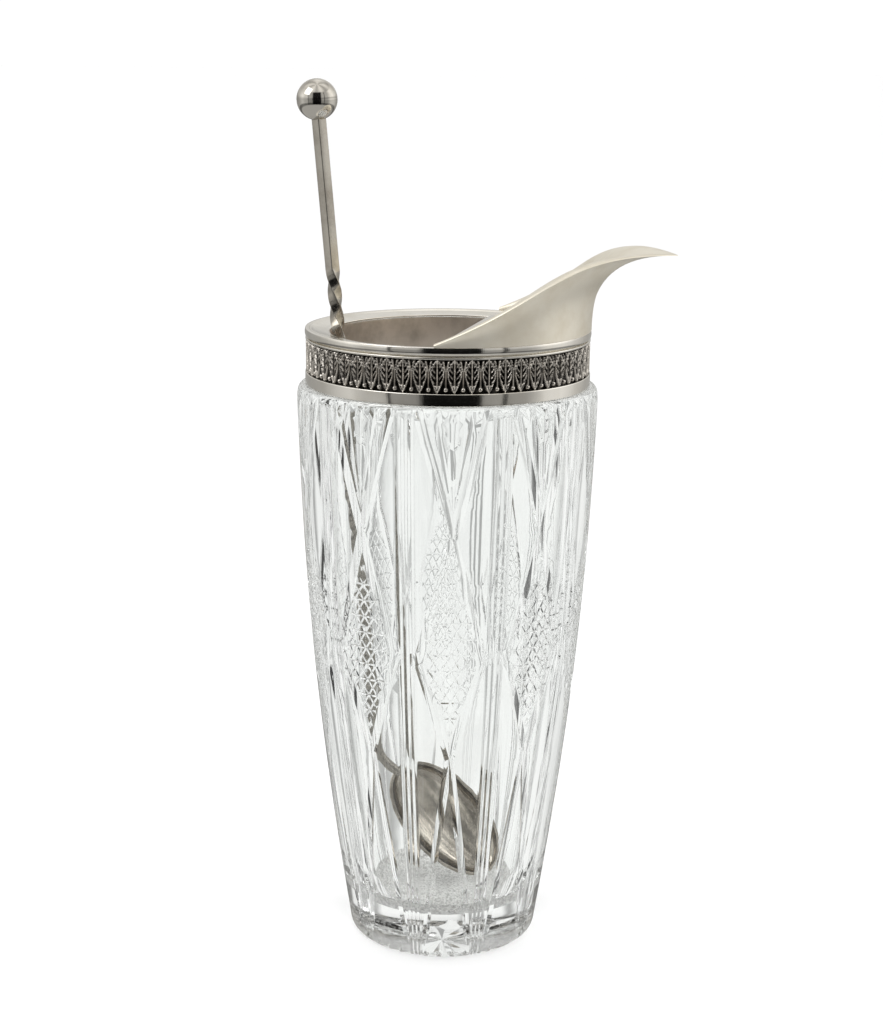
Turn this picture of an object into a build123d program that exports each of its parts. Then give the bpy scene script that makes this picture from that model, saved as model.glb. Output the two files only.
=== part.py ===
from build123d import *
import math
import os

# Cocktail mixing glass: a tall cut-crystal body, a silver collar with a broad pouring lip
# and an ice guard, and a loose stirrer that leans in the mouth.
# Origin: centre of the base, on the surface it stands on. +Z is up, +X points to the lip.
# All sizes are in millimetres and degrees.

# Glass body
BASE_RADIUS = 28.4
BASE_EDGE_MIDDLE = (30.1, 0.8)
FLOOR_HEIGHT = 14.0
FLOOR_RADIUS = 21.0
FLOOR_BEND = (24.6, 16.9)
SHOULDER_RADIUS = 44.8
SHOULDER_HEIGHT = 183.8
SHOULDER_BEND = (47.0, 182.0)
NECK_RADIUS = 41.5
NECK_BORE_RADIUS = 37.8
NECK_BORE_BOTTOM = 184.0
NECK_TOP = 199.2
OUTER_WALL = [
    (30.8, 2.6),
    (34.2, 25.0),
    (38.4, 56.0),
    (41.6, 84.0),
    (44.5, 117.0),
    (46.4, 149.0),
    (47.5, 177.0),
]
INNER_WALL = [
    (38.6, 172.0),
    (38.3, 149.0),
    (36.6, 117.0),
    (33.8, 84.0),
    (30.5, 56.0),
    (26.2, 26.0),
]

# Silver collar, from the shoulder of the glass up to the rim
COLLAR_RADIUS = 45.0
LOWER_BAND_RADIUS = 44.9
FRIEZE_RADIUS = 44.7
FILLET_RADIUS = 44.8
BAND_ROUNDING = 0.35
FILLET_ROUNDING = 0.25
SLEEVE_RADIUS = 43.5
SLEEVE_THICKNESS = 0.9
LOWER_BAND_TOP = 187.7
FRIEZE_TOP = 197.8
FILLET_TOP = 198.5
UPPER_BAND_BOTTOM = 199.0
RIM_HEIGHT = 201.4
LEDGE_BOTTOM = 199.4
LEDGE_INNER_TOP = 200.2
MOUTH_RADIUS = 37.2
LINER_RADIUS = 37.7
LINER_BOTTOM = 184.6

# Pouring lip: a sheet that rises from the rim between two meridians
LIP_THICKNESS = 1.1
LIP_EDGE = [
    (5.5, 44.66, 0.0),
    (39.5, 44.0, 13.7),
    (42.0, 40.0, 24.2),
    (55.0, 24.0, 26.7),
    (71.5, 0.0, 24.6),
]
LIP_STATIONS = 9
LIP_END = 0.01
LIP_SPACING = 1.4
LIP_RISE = 0.53
LIP_FLARE = 0.83

# Ice guard: a flat bar across the mouth, along a chord
GUARD_NEAR_X = 5.2
GUARD_FAR_X = 15.2
GUARD_BOTTOM = 199.6
GUARD_TOP = 200.7
GUARD_ROUNDING = 0.44

# Stirrer: it leans in one vertical plane through the axis of the glass
STIR_AZIMUTH = 194.0
LEAN = 5.0
BAR_SIDE = 3.3
BAR_RIM_RADIUS = 34.6
BALL_RADIUS = 6.3
BALL_HEIGHT = 270.9
TWIST_TOP = 219.4
TWIST_BOTTOM = 74.0
TWIST_PITCH = 31.5
FOOT_HEIGHT = 58.0
FOOT_RADIUS = 2.3
NECK_END_RADIUS = 1.9
NECK_OVERLAP = 2.0
BOWL_LENGTH = 48.0
BOWL_WIDTH = 26.0
BOWL_DEPTH = 8.0
BOWL_THICKNESS = 1.1
BOWL_CENTRE = (-0.9, 37.5)
BOWL_SLOPE = 46.0
BOWL_ROLL = 70.0


def ring(inner_radius, outer_radius, bottom, top):
    """A plain turned ring about the Z axis."""
    height = top - bottom
    middle = Pos(0, 0, bottom + height / 2)
    return middle * (Cylinder(outer_radius, height) - Cylinder(inner_radius, height))


def rounded_ring(inner_radius, outer_radius, bottom, top, rounding):
    """A turned ring whose two outer edges are rounded."""
    body = ring(inner_radius, outer_radius, bottom, top)
    return fillet(body.edges().filter_by(GeomType.CIRCLE).group_by(SortBy.LENGTH)[-1], rounding)


def in_section(points):
    """Radius and height pairs as points of the XZ half plane."""
    return [(radius, 0, height) for radius, height in points]


def glass_body():
    """Turned body with a thick floor, a rounded shoulder and a neck that the collar hides."""
    foot, crown = OUTER_WALL[0], OUTER_WALL[-1]
    bore_top, bore_foot = INNER_WALL[0], INNER_WALL[-1]
    shoulder = (SHOULDER_RADIUS, SHOULDER_HEIGHT)
    neck = [
        shoulder,
        (NECK_RADIUS, SHOULDER_HEIGHT),
        (NECK_RADIUS, NECK_TOP),
        (NECK_BORE_RADIUS, NECK_TOP),
        (NECK_BORE_RADIUS, NECK_BORE_BOTTOM),
        bore_top,
    ]
    edges = [
        Line(*in_section([(0, 0), (BASE_RADIUS, 0)])),
        ThreePointArc(*in_section([(BASE_RADIUS, 0), BASE_EDGE_MIDDLE, foot])),
        Spline(*in_section(OUTER_WALL)),
        ThreePointArc(*in_section([crown, SHOULDER_BEND, shoulder])),
        Polyline(*in_section(neck)),
        Spline(*in_section(INNER_WALL)),
        ThreePointArc(*in_section([bore_foot, FLOOR_BEND, (FLOOR_RADIUS, FLOOR_HEIGHT)])),
        Polyline(*in_section([(FLOOR_RADIUS, FLOOR_HEIGHT), (0, FLOOR_HEIGHT), (0, 0)])),
    ]
    return revolve(make_face(edges), Axis.Z)


def rim_ledge():
    """Flat ring on top of the neck, dished towards the mouth."""
    corners = [
        (MOUTH_RADIUS, LEDGE_BOTTOM),
        (SLEEVE_RADIUS, LEDGE_BOTTOM),
        (SLEEVE_RADIUS, RIM_HEIGHT),
        (MOUTH_RADIUS, LEDGE_INNER_TOP),
    ]
    section = Polyline(*in_section(corners), close=True)
    return revolve(make_face(section), Axis.Z)


def lip_edge(t):
    """Free edge of the lip, a Bezier curve from its root (t = 0) to its tip (t = 1)."""
    degree = len(LIP_EDGE) - 1
    total = Vector(0, 0, 0)
    for i, point in enumerate(LIP_EDGE):
        total += Vector(*point) * (math.comb(degree, i) * (1 - t) ** (degree - i) * t ** i)
    return total


def lip_section(t, side):
    """Radial strip of the lip's sheet from the rim up to its free edge, on one side."""
    edge = lip_edge(t)
    edge = Vector(edge.X, side * edge.Y, edge.Z)
    outward = Vector(edge.X, edge.Y, 0).normalized()
    root = outward * COLLAR_RADIUS
    flare = Vector(edge.X, edge.Y, 0) - root
    inward = outward * -LIP_THICKNESS
    upward = Vector(0, 0, LIP_THICKNESS * 0.9) + inward * 0.35
    outer = [root, root + Vector(0, 0, LIP_RISE * edge.Z), edge - flare * LIP_FLARE, edge]
    inner = [
        root + inward,
        outer[1] + inward,
        outer[2] + inward * 0.75 + upward * 0.4,
        edge + upward * 0.5 + inward * 0.5,
    ]
    lift = Vector(0, 0, RIM_HEIGHT)
    outer = [point + lift for point in outer]
    inner = [point + lift for point in inner]
    return Face(Wire([
        Bezier(*outer),
        Line(outer[-1], inner[-1]),
        Bezier(*reversed(inner)),
        Line(inner[0], outer[0]),
    ]))


def pouring_lip():
    """Sheet lip, lofted through its strips from one root round the tip to the other."""
    shares = [(i / LIP_STATIONS) ** LIP_SPACING for i in range(LIP_STATIONS + 1)]
    steps = [LIP_END + (1 - LIP_END) * share for share in shares]
    sections = [lip_section(t, -1) for t in steps]
    sections += [lip_section(t, 1) for t in reversed(steps[:-1])]
    return loft(sections)


def ice_guard():
    """Flat bar along a chord of the mouth, between the inner edges of the ledge."""
    width = GUARD_FAR_X - GUARD_NEAR_X
    thickness = GUARD_TOP - GUARD_BOTTOM
    centre = Pos(GUARD_NEAR_X + width / 2, 0, GUARD_BOTTOM + thickness / 2)
    bar = centre * Box(width, 4 * MOUTH_RADIUS, thickness)
    long_edges = bar.edges().filter_by(Axis.Y).group_by(Axis.Z)[-1]
    bar = fillet(long_edges, GUARD_ROUNDING)
    return bar & Cylinder(MOUTH_RADIUS, 3 * RIM_HEIGHT)


def stir_point(radius, height):
    """A point of the vertical plane that the stirrer leans in."""
    azimuth = math.radians(STIR_AZIMUTH)
    return Vector(radius * math.cos(azimuth), radius * math.sin(azimuth), height)


def bar_point(height):
    """A point on the centre line of the stirrer's bar."""
    return stir_point(BAR_RIM_RADIUS + (height - LEDGE_INNER_TOP) * math.tan(math.radians(LEAN)), height)


def bar_place(height):
    """Location on the bar, with Z up along it and X square to the plane of the lean."""
    azimuth = math.radians(STIR_AZIMUTH)
    across = Vector(math.sin(azimuth), -math.cos(azimuth), 0)
    along = bar_point(BALL_HEIGHT) - bar_point(FOOT_HEIGHT)
    return Plane(origin=bar_point(height), x_dir=across, z_dir=along).location


def bar_piece(bottom, top, turn, twist):
    """A length of square bar; turn is that of its lower end, twist that over its length."""
    length = (top - bottom) / math.cos(math.radians(LEAN))
    section = Rot(0, 0, turn) * Rectangle(BAR_SIDE, BAR_SIDE)
    if twist:
        piece = Solid.extrude_linear_with_rotation(section.face(), (0, 0, 0), (0, 0, length), twist)
    else:
        piece = extrude(section, length)
    return bar_place(bottom) * piece


def bowl_neck():
    """Round rod from the foot of the bar to the upper end of the bowl."""
    reach = BOWL_LENGTH / 2 - NECK_OVERLAP
    slope = math.radians(BOWL_SLOPE)
    radius, height = BOWL_CENTRE
    start = bar_point(FOOT_HEIGHT)
    run = stir_point(radius + reach * math.cos(slope), height + reach * math.sin(slope)) - start
    rod = Cylinder(NECK_END_RADIUS, run.length, align=(Align.CENTER, Align.CENTER, Align.MIN))
    return Plane(origin=start, z_dir=run).location * rod


def stirrer_bar():
    """Square bar, plain at the top, twisted below, with a rounded foot and a neck to the bowl."""
    twist = 360.0 * (TWIST_TOP - TWIST_BOTTOM) / math.cos(math.radians(LEAN)) / TWIST_PITCH
    plain_top = bar_piece(TWIST_TOP, BALL_HEIGHT - 2, 45, 0)
    twisted = bar_piece(TWIST_BOTTOM, TWIST_TOP, 45 + twist, -twist)
    plain_foot = bar_piece(FOOT_HEIGHT, TWIST_BOTTOM, 45 + twist, 0)
    knuckle = Pos(bar_point(FOOT_HEIGHT)) * Sphere(FOOT_RADIUS)
    return plain_top + twisted + plain_foot + knuckle + bowl_neck()


def finial_ball(bar):
    """Solid ball on the end of the bar."""
    return Pos(bar_point(BALL_HEIGHT)) * Sphere(BALL_RADIUS) - bar


def half_ellipsoid(length, width, depth):
    """Lower half of an ellipsoid, its flat face up at the origin."""
    whole = scale(Sphere(1), by=(length / 2, width / 2, depth))
    return whole & Box(2 * length, 2 * width, 2 * depth, align=(Align.CENTER, Align.CENTER, Align.MAX))


def spoon_bowl(bar):
    """Oval bowl, rising to the bar and rolled so that it opens to one side of the lean."""
    outer = half_ellipsoid(BOWL_LENGTH, BOWL_WIDTH, BOWL_DEPTH)
    inner = half_ellipsoid(
        BOWL_LENGTH - 2 * BOWL_THICKNESS,
        BOWL_WIDTH - 2 * BOWL_THICKNESS,
        BOWL_DEPTH - BOWL_THICKNESS,
    )
    shell = outer - inner
    tilt = Rot(0, -BOWL_SLOPE, 0) * Rot(-BOWL_ROLL, 0, 0)
    place = Pos(stir_point(*BOWL_CENTRE)) * Rot(0, 0, STIR_AZIMUTH) * tilt
    return place * shell - bar


def make_parts():
    """Every piece of the object, by node name."""
    bar = stirrer_bar()
    sleeve_bore = SLEEVE_RADIUS - SLEEVE_THICKNESS
    return {
        "glass_body": glass_body(),
        "mounting_cement": ring(NECK_RADIUS, sleeve_bore, SHOULDER_HEIGHT, NECK_TOP),
        "collar_sleeve": ring(sleeve_bore, SLEEVE_RADIUS, SHOULDER_HEIGHT, LEDGE_BOTTOM),
        "lower_band": rounded_ring(
            SLEEVE_RADIUS, LOWER_BAND_RADIUS, SHOULDER_HEIGHT, LOWER_BAND_TOP, BAND_ROUNDING
        ),
        "frieze_strip": ring(SLEEVE_RADIUS, FRIEZE_RADIUS, LOWER_BAND_TOP, FRIEZE_TOP),
        "fillet_wire": rounded_ring(
            SLEEVE_RADIUS, FILLET_RADIUS, FRIEZE_TOP, FILLET_TOP, FILLET_ROUNDING
        ),
        "upper_band": rounded_ring(
            SLEEVE_RADIUS, COLLAR_RADIUS, UPPER_BAND_BOTTOM, RIM_HEIGHT, BAND_ROUNDING
        ),
        "rim_ledge": rim_ledge(),
        "mouth_liner": ring(MOUTH_RADIUS, LINER_RADIUS, LINER_BOTTOM, LEDGE_BOTTOM),
        "pouring_lip": pouring_lip(),
        "ice_guard": ice_guard(),
        "finial_ball": finial_ball(bar),
        "stirrer_bar": bar,
        "spoon_bowl": spoon_bowl(bar),
    }


os.makedirs("parts", exist_ok=True)
for name, part in make_parts().items():
    export_step(part, f"parts/{name}.step")
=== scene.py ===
import math

import bpy
import numpy as np
from mathutils import Matrix, Vector
from mathutils.geometry import delaunay_2d_cdt


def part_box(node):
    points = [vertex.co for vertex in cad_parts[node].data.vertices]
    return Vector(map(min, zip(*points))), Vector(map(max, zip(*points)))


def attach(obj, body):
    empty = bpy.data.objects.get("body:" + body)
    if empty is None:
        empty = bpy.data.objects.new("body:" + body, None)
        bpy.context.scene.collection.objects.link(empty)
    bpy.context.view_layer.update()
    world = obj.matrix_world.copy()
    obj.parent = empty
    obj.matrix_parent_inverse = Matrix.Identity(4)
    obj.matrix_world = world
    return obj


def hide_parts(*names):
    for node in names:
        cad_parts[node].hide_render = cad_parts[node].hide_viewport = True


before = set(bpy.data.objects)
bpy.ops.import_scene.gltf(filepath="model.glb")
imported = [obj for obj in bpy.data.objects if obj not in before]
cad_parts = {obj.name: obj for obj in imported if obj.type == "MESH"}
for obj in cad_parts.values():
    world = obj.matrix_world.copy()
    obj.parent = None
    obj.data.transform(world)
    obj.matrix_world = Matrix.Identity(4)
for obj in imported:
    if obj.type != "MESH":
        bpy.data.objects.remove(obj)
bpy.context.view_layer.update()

# Everything is in metres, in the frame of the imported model: +Z up, +X towards the pouring lip.
MM = 0.001
TAU = 2 * math.pi
BODY = "vessel"
STIRRER = "stirrer"

# ---------------------------------------------------------------- sizes of glass and collar
BASE_RADIUS = 28.4 * MM
FOOT_BEND = (30.4 * MM, 0.2 * MM)
FLOOR_RADIUS = 21.0 * MM
FLOOR_HEIGHT = 14.0 * MM
FLOOR_BEND = (23.2 * MM, 14.2 * MM)
FLOOR_RINGS = (0.85, 0.65, 0.45, 0.25, 0.1)
FROST_TOP = 19.0 * MM
CROWN_FOOT = 180.4 * MM
CROWN_RADIUS = 47.5 * MM
SHOULDER_RADIUS = 44.8 * MM
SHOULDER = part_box("lower_band")[0].z
NECK_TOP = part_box("glass_body")[1].z
NECK_RADIUS = 41.5 * MM
BORE_RADIUS = 37.8 * MM
BORE_TOP = SHOULDER + 0.2 * MM
COLLAR_RADIUS = 45.0 * MM
SLEEVE_RADIUS = 43.5 * MM
MOUTH_RADIUS = 37.2 * MM
LEDGE_INNER_TOP = 200.2 * MM
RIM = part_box("upper_band")[1].z

# Walls of the glass, as (radius, height) in millimetres
OUTER_WALL = [(30.8, 2.6), (34.2, 25.0), (38.4, 56.0), (41.6, 84.0), (44.5, 117.0), (46.4, 149.0),
              (47.5, 177.0)]
INNER_WALL = [(38.6, 172.0), (38.3, 149.0), (36.6, 117.0), (33.8, 84.0), (30.5, 56.0), (26.2, 26.0)]
WALL_DEGREE = 5
OUTER_STEPS = 150
INNER_STEPS = 60
FOOT_STEPS = 8
CROWN_STEPS = 12
FLOOR_STEPS = 12

# Cut pattern: angles in degrees from the middle of a panel, heights and depths in millimetres
PANELS = 10
PANEL_TURN = math.radians(-1.6)
HALF_PANEL = 18.0
MM_PER_DEGREE = 0.76
PLAIN_STEP = 2.25
PLAIN_COLUMNS = 7
FLUTE_HALVES = 3
FLUTE_STEP = 1.22
FLUTE_DEPTH = 0.5
FLUTE_ROUNDING = 0.17
ARM_WIDTH = 1.45
ARM_SLOPE = 0.55
ARM_LEAD = 3.0
ARM_TAIL = 0.6
ARM_POINTS = ((12.4, 181.0), (0.0, 144.0), (13.2, 104.6), (0.0, 72.0), (12.8, 5.0))
CROSSING_HEIGHTS = [height for angle, height in ARM_POINTS if angle == 0]
CROSSING_REACH = 1.04
RAY_APEX = 151.0
RAY_TOP = 183.0
RAY_ANGLES = (0.0, 6.4)
RAY_START_WIDTH = 0.02
RAY_WIDTH = 1.5
RAY_SLOPE = 0.45
HATCH_MIDDLE = 107.0
HATCH_REACH = 27.0
HATCH_SIDE = 9.7
HATCH_FLARE = 13.4
HATCH_PITCH = 4.4
HATCH_ROW = 5.2
HATCH_WIDTH = 0.32
HATCH_SLOPE = 0.75
HATCH_FADE = 0.8
HATCH_LINES = 16
CUTS_END = (180.6, 182.4)
STAR_RAYS = 40
STAR_SLOPE = 0.85
STAR_RIM = (25.4, 27.2)
STAR_RINGS = (27.2, 26.3, 25.4, 20, 15, 10, 5, 1)

# Fineness of the glass: numbers of points and rows, and distances in millimetres
CLIP_SAMPLES = 801
CHAIN_STEP = 4.0
FOOT_ROWS = 5
WALL_ROWS = 40
CROWN_ROWS = 9
TANGENT_REACH = 0.5
FREE_MARGIN = 0.5
BASE_MARGIN = 0.01
TOP_MARGIN = 0.2
JOIN_DISTANCE = 1e-4
WELD_DECIMALS = 7
RING_SEGMENTS = 288

# Material slots of the glass
CLEAR, FROST = 0, 1


# ---------------------------------------------------------------- small helpers
def smooth_step(x, low, high):
    t = np.clip((np.asarray(x, float) - low) / (high - low), 0, 1)
    return t * t * (3 - 2 * t)


def window(x, rise, fall):
    """1 between two soft borders, each given as (start, end), and 0 outside them."""
    return smooth_step(x, *rise) * (1 - smooth_step(x, *fall))


def bend(start, corner, end, count):
    """Points of a quadratic curve, without its first point."""
    t = np.arange(1, count + 1)[:, None] / count
    start, corner, end = (np.array(p, float) for p in (start, corner, end))
    return (1 - t) ** 2 * start + 2 * t * (1 - t) * corner + t * t * end


def rounded(points, radius, steps=4):
    """A closed section with its corners rounded; points are (radius, height) in metres."""
    section = []
    for i, point in enumerate(points):
        point = np.array(point, float)
        before = np.array(points[i - 1]) - point
        after = np.array(points[(i + 1) % len(points)]) - point
        reach = min(radius, 0.45 * np.linalg.norm(before), 0.45 * np.linalg.norm(after))
        start = point + before / np.linalg.norm(before) * reach
        end = point + after / np.linalg.norm(after) * reach
        section += [tuple(start)] + [tuple(p) for p in bend(start, point, end, steps)]
    return section


def full_turn(count):
    return np.arange(count) * TAU / count


def circle(radius, height, angles):
    return [(radius * math.cos(a), radius * math.sin(a), height) for a in angles]


def grid_faces(rows, columns, close_rows=False):
    """Quads between rings of points, numbered ring by ring; close_rows joins the last to the first."""
    faces = []
    for i in range(rows if close_rows else rows - 1):
        for j in range(columns):
            i2, j2 = (i + 1) % rows, (j + 1) % columns
            faces.append((i * columns + j, i * columns + j2, i2 * columns + j2, i2 * columns + j))
    return faces


def fan_faces(first, count, centre, flip=False):
    """Triangles between a ring of points, numbered from first, and one centre point."""
    pairs = [(first + j, first + (j + 1) % count) for j in range(count)]
    return [(b, a, centre) if flip else (a, b, centre) for a, b in pairs]


def tube_faces(rows, count):
    """Quads of a tube of rings of points, with a flat cap at each end."""
    faces = grid_faces(rows, count)
    faces.append(tuple(range(count))[::-1])
    faces.append(tuple(range((rows - 1) * count, rows * count)))
    return faces


def new_object(name, verts, faces, materials, sharp=None, body=BODY):
    """A smooth-shaded piece from vertices and faces, riding on one body."""
    mesh = bpy.data.meshes.new(name)
    mesh.from_pydata([tuple(v) for v in verts], [], [tuple(f) for f in faces])
    mesh.validate()
    mesh.shade_smooth()
    if sharp is not None:
        mesh.set_sharp_from_angle(angle=math.radians(sharp))
    obj = bpy.data.objects.new(name, mesh)
    bpy.context.scene.collection.objects.link(obj)
    for material in materials:
        mesh.materials.append(material)
    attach(obj, body)
    return obj


def lathe(name, section, material):
    """A ring turned from a closed section of (radius, height) points, anticlockwise."""
    verts = [point for r, z in section for point in circle(r, z, full_turn(RING_SEGMENTS))]
    faces = grid_faces(len(section), RING_SEGMENTS, close_rows=True)
    return new_object(name, verts, faces, [material], sharp=35)


def place(verts, origin, x_axis, z_axis):
    """Points moved from a local frame to the one with the given origin, X and Z."""
    z_axis = Vector(z_axis).normalized()
    y_axis = z_axis.cross(Vector(x_axis)).normalized()
    x_axis = y_axis.cross(z_axis)
    turn = Matrix((x_axis, y_axis, z_axis)).transposed()
    return [turn @ Vector(v) + Vector(origin) for v in verts]


# ---------------------------------------------------------------- materials
# Noise scales, in cycles a metre, and depths of the relief they give
CLOUD_SCALE = 90
SPECK_SCALE = 900
SCRATCH_SCALE = 1400
GRAIN_SCALE = 1500
CLOUD_DEPTH = 0.12 * MM
SCRATCH_DEPTH = 0.03 * MM
WAVE_DEPTH = 0.2 * MM
CRYSTAL_IOR = 1.54
# Painted shade on the stirrer's bar inside the glass: the soft height of its border and the wobble of that
# border
PAINTED_SHADE_FADE = 12 * MM
PAINTED_SHADE_WOBBLE = 3 * MM


class Nodes:
    """Short-hand for building one node tree."""

    def __init__(self, tree):
        self.tree = tree

    def add(self, kind, inputs=None, **settings):
        node = self.tree.nodes.new(kind)
        for key, value in settings.items():
            setattr(node, key, value)
        for key, value in (inputs or {}).items():
            self.put(node.inputs[key], value)
        return node

    def put(self, socket, value):
        if isinstance(value, bpy.types.NodeSocket):
            self.tree.links.new(value, socket)
        else:
            socket.default_value = value

    def math(self, operation, *values, clamp=False):
        node = self.add("ShaderNodeMath", operation=operation, use_clamp=clamp)
        for socket, value in zip(node.inputs, values):
            self.put(socket, value)
        return node.outputs[0]

    def noise(self, vector, scale, detail=3.0, roughness=0.5):
        return self.add("ShaderNodeTexNoise", {"Vector": vector, "Scale": scale, "Detail": detail,
                                               "Roughness": roughness}).outputs[0]

    def remap(self, value, low, high, to_low, to_high):
        return self.add("ShaderNodeMapRange", {"Value": value, "From Min": low, "From Max": high,
                                               "To Min": to_low, "To Max": to_high}).outputs[0]

    def mix(self, factor, a, b):
        node = self.add("ShaderNodeMix", data_type="RGBA")
        self.put(node.inputs[0], factor)
        self.put(node.inputs[6], a)
        self.put(node.inputs[7], b)
        return node.outputs[2]

    def bump(self, height, strength, distance, normal=None):
        inputs = {"Height": height, "Strength": strength, "Distance": distance}
        if normal:
            inputs["Normal"] = normal
        return self.add("ShaderNodeBump", inputs).outputs[0]


def rgba(red, green, blue):
    return (red, green, blue, 1)


def grey(level):
    return rgba(level, level, level)


def new_material(name):
    material = bpy.data.materials.new(name)
    material.use_nodes = True
    nodes = Nodes(material.node_tree)
    shader = material.node_tree.nodes["Principled BSDF"]
    coordinates = nodes.add("ShaderNodeTexCoord").outputs["Object"]
    return material, nodes, shader, coordinates


def stretched(nodes, coordinates, scale):
    return nodes.add("ShaderNodeMapping", {"Vector": coordinates, "Scale": scale}).outputs[0]


def silver(name, colour, shade, roughness, patchy, bump, brush=(1, 1, 1), metal=1.0):
    """Silver with cloudy tarnish, fine scratches and a roughness that wanders."""
    material, nodes, shader, coordinates = new_material(name)
    cloud = nodes.noise(coordinates, CLOUD_SCALE, 4, 0.6)
    speck = nodes.noise(coordinates, SPECK_SCALE, 2, 0.6)
    scratch = nodes.noise(stretched(nodes, coordinates, brush), SCRATCH_SCALE, 3, 0.7)
    tarnish = nodes.remap(cloud, 0.42, 0.72, 0, 1)
    nodes.put(shader.inputs["Base Color"], nodes.mix(tarnish, colour, shade))
    worn = nodes.remap(cloud, 0.3, 0.75, roughness, roughness + patchy)
    fine = nodes.remap(speck, 0.45, 0.8, 0, patchy)
    nodes.put(shader.inputs["Roughness"], nodes.math("ADD", worn, fine, clamp=True))
    shader.inputs["Metallic"].default_value = metal
    relief = nodes.bump(scratch, bump, SCRATCH_DEPTH)
    nodes.put(shader.inputs["Normal"], nodes.bump(cloud, bump, CLOUD_DEPTH, relief))
    return material


def painted_shade_below(material, height, shade):
    """Painted shade: darkens a silver material below a height, where the stirrer stands in the glass."""
    nodes = Nodes(material.node_tree)
    shader = material.node_tree.nodes["Principled BSDF"]
    unshaded = shader.inputs["Base Color"].links[0].from_socket
    position = nodes.add("ShaderNodeTexCoord").outputs["Object"]
    z = nodes.add("ShaderNodeSeparateXYZ", {"Vector": position}).outputs[2]
    cloud = nodes.remap(nodes.noise(position, 250), 0.3, 0.7, -PAINTED_SHADE_WOBBLE, PAINTED_SHADE_WOBBLE)
    share = nodes.remap(nodes.math("ADD", z, cloud), height - PAINTED_SHADE_FADE, height, 1, 0)
    nodes.put(shader.inputs["Base Color"], nodes.mix(share, unshaded, shade))


def oxidised_silver(low, high, recess, raised):
    """Frieze silver whose colour goes from recess to raised between two radii."""
    material, nodes, shader, coordinates = new_material("oxidised_silver")
    position = nodes.add("ShaderNodeSeparateXYZ", {"Vector": coordinates})
    squares = [nodes.math("MULTIPLY", axis, axis) for axis in position.outputs[:2]]
    radius = nodes.math("SQRT", nodes.math("ADD", *squares))
    cloud = nodes.noise(coordinates, 500, 3, 0.6)
    depth = nodes.remap(radius, low, high, 0, 1)
    level = nodes.math("ADD", depth, nodes.remap(cloud, 0.3, 0.7, -0.15, 0.15))
    level = nodes.math("MAXIMUM", nodes.math("MINIMUM", level, 1.0), 0.0)
    share = nodes.math("POWER", level, 1.3)
    nodes.put(shader.inputs["Base Color"], nodes.mix(share, recess, raised))
    nodes.put(shader.inputs["Roughness"], nodes.remap(share, 0, 1, 0.5, 0.14))
    shader.inputs["Metallic"].default_value = 1
    return material


def crystal(name, colour, clarity, roughness, bump, pit_size, shade=None):
    """Lead crystal: wavy as a hand-worked surface, or pitted as a ground one when a shade is given."""
    material, nodes, shader, coordinates = new_material(name)
    shader.inputs["Base Color"].default_value = colour
    shader.inputs["Transmission Weight"].default_value = clarity
    shader.inputs["IOR"].default_value = CRYSTAL_IOR
    shader.inputs["Roughness"].default_value = roughness
    wave = nodes.noise(stretched(nodes, coordinates, (1, 1, 0.3)), pit_size, 2, 0.5)
    nodes.put(shader.inputs["Normal"], nodes.bump(wave, bump, WAVE_DEPTH))
    if shade:
        grain = nodes.noise(coordinates, GRAIN_SCALE, 2, 0.6)
        rough = nodes.remap(grain, 0.35, 0.75, roughness, roughness * 1.6)
        nodes.put(shader.inputs["Roughness"], rough)
        pits = nodes.remap(nodes.noise(coordinates, pit_size, 3, 0.7), 0.4, 0.6, 0, 1)
        nodes.put(shader.inputs["Base Color"], nodes.mix(pits, colour, shade))
    return material


def plaster(dark, light):
    """The pale cement between neck and sleeve."""
    material, nodes, shader, coordinates = new_material("cement")
    grain = nodes.noise(coordinates, 1200, 4, 0.7)
    nodes.put(shader.inputs["Base Color"], nodes.mix(grain, dark, light))
    nodes.put(shader.inputs["Roughness"], nodes.remap(grain, 0, 1, 0.8, 1.0))
    nodes.put(shader.inputs["Normal"], nodes.bump(grain, 0.4, 0.1 * MM))
    return material


POLISHED = silver("polished_silver", rgba(0.90, 0.88, 0.84), rgba(0.80, 0.77, 0.71),
                  roughness=0.05, patchy=0.05, bump=0.25, brush=(1, 1, 0.05))
SATIN = silver("satin_silver", rgba(0.82, 0.775, 0.67), rgba(0.72, 0.66, 0.54),
               roughness=0.3, patchy=0.05, bump=0.12, brush=(0.3, 0.3, 1), metal=0.68)
LINER = silver("liner_silver", rgba(0.60, 0.525, 0.455), rgba(0.36, 0.31, 0.26),
               roughness=0.32, patchy=0.15, bump=0.6, brush=(1, 1, 0.1))
# Darker copy of the polished silver: painted shade that dims the bar's reflections
BAR_SILVER = silver("bar_silver", rgba(0.55, 0.525, 0.48), rgba(0.38, 0.35, 0.31),
                    roughness=0.12, patchy=0.1, bump=0.4, brush=(1, 1, 0.05))
# Painted shade: the bar is coloured darker below 195 mm, where it stands inside the glass
painted_shade_below(BAR_SILVER, 195 * MM, rgba(0.3, 0.28, 0.245))
# Darker copy of the polished silver: painted shade standing in for the darker reflections on the ball
BALL_SILVER = silver("ball_silver", rgba(0.7, 0.68, 0.64), rgba(0.45, 0.42, 0.38),
                     roughness=0.04, patchy=0.08, bump=0.3)
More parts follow.
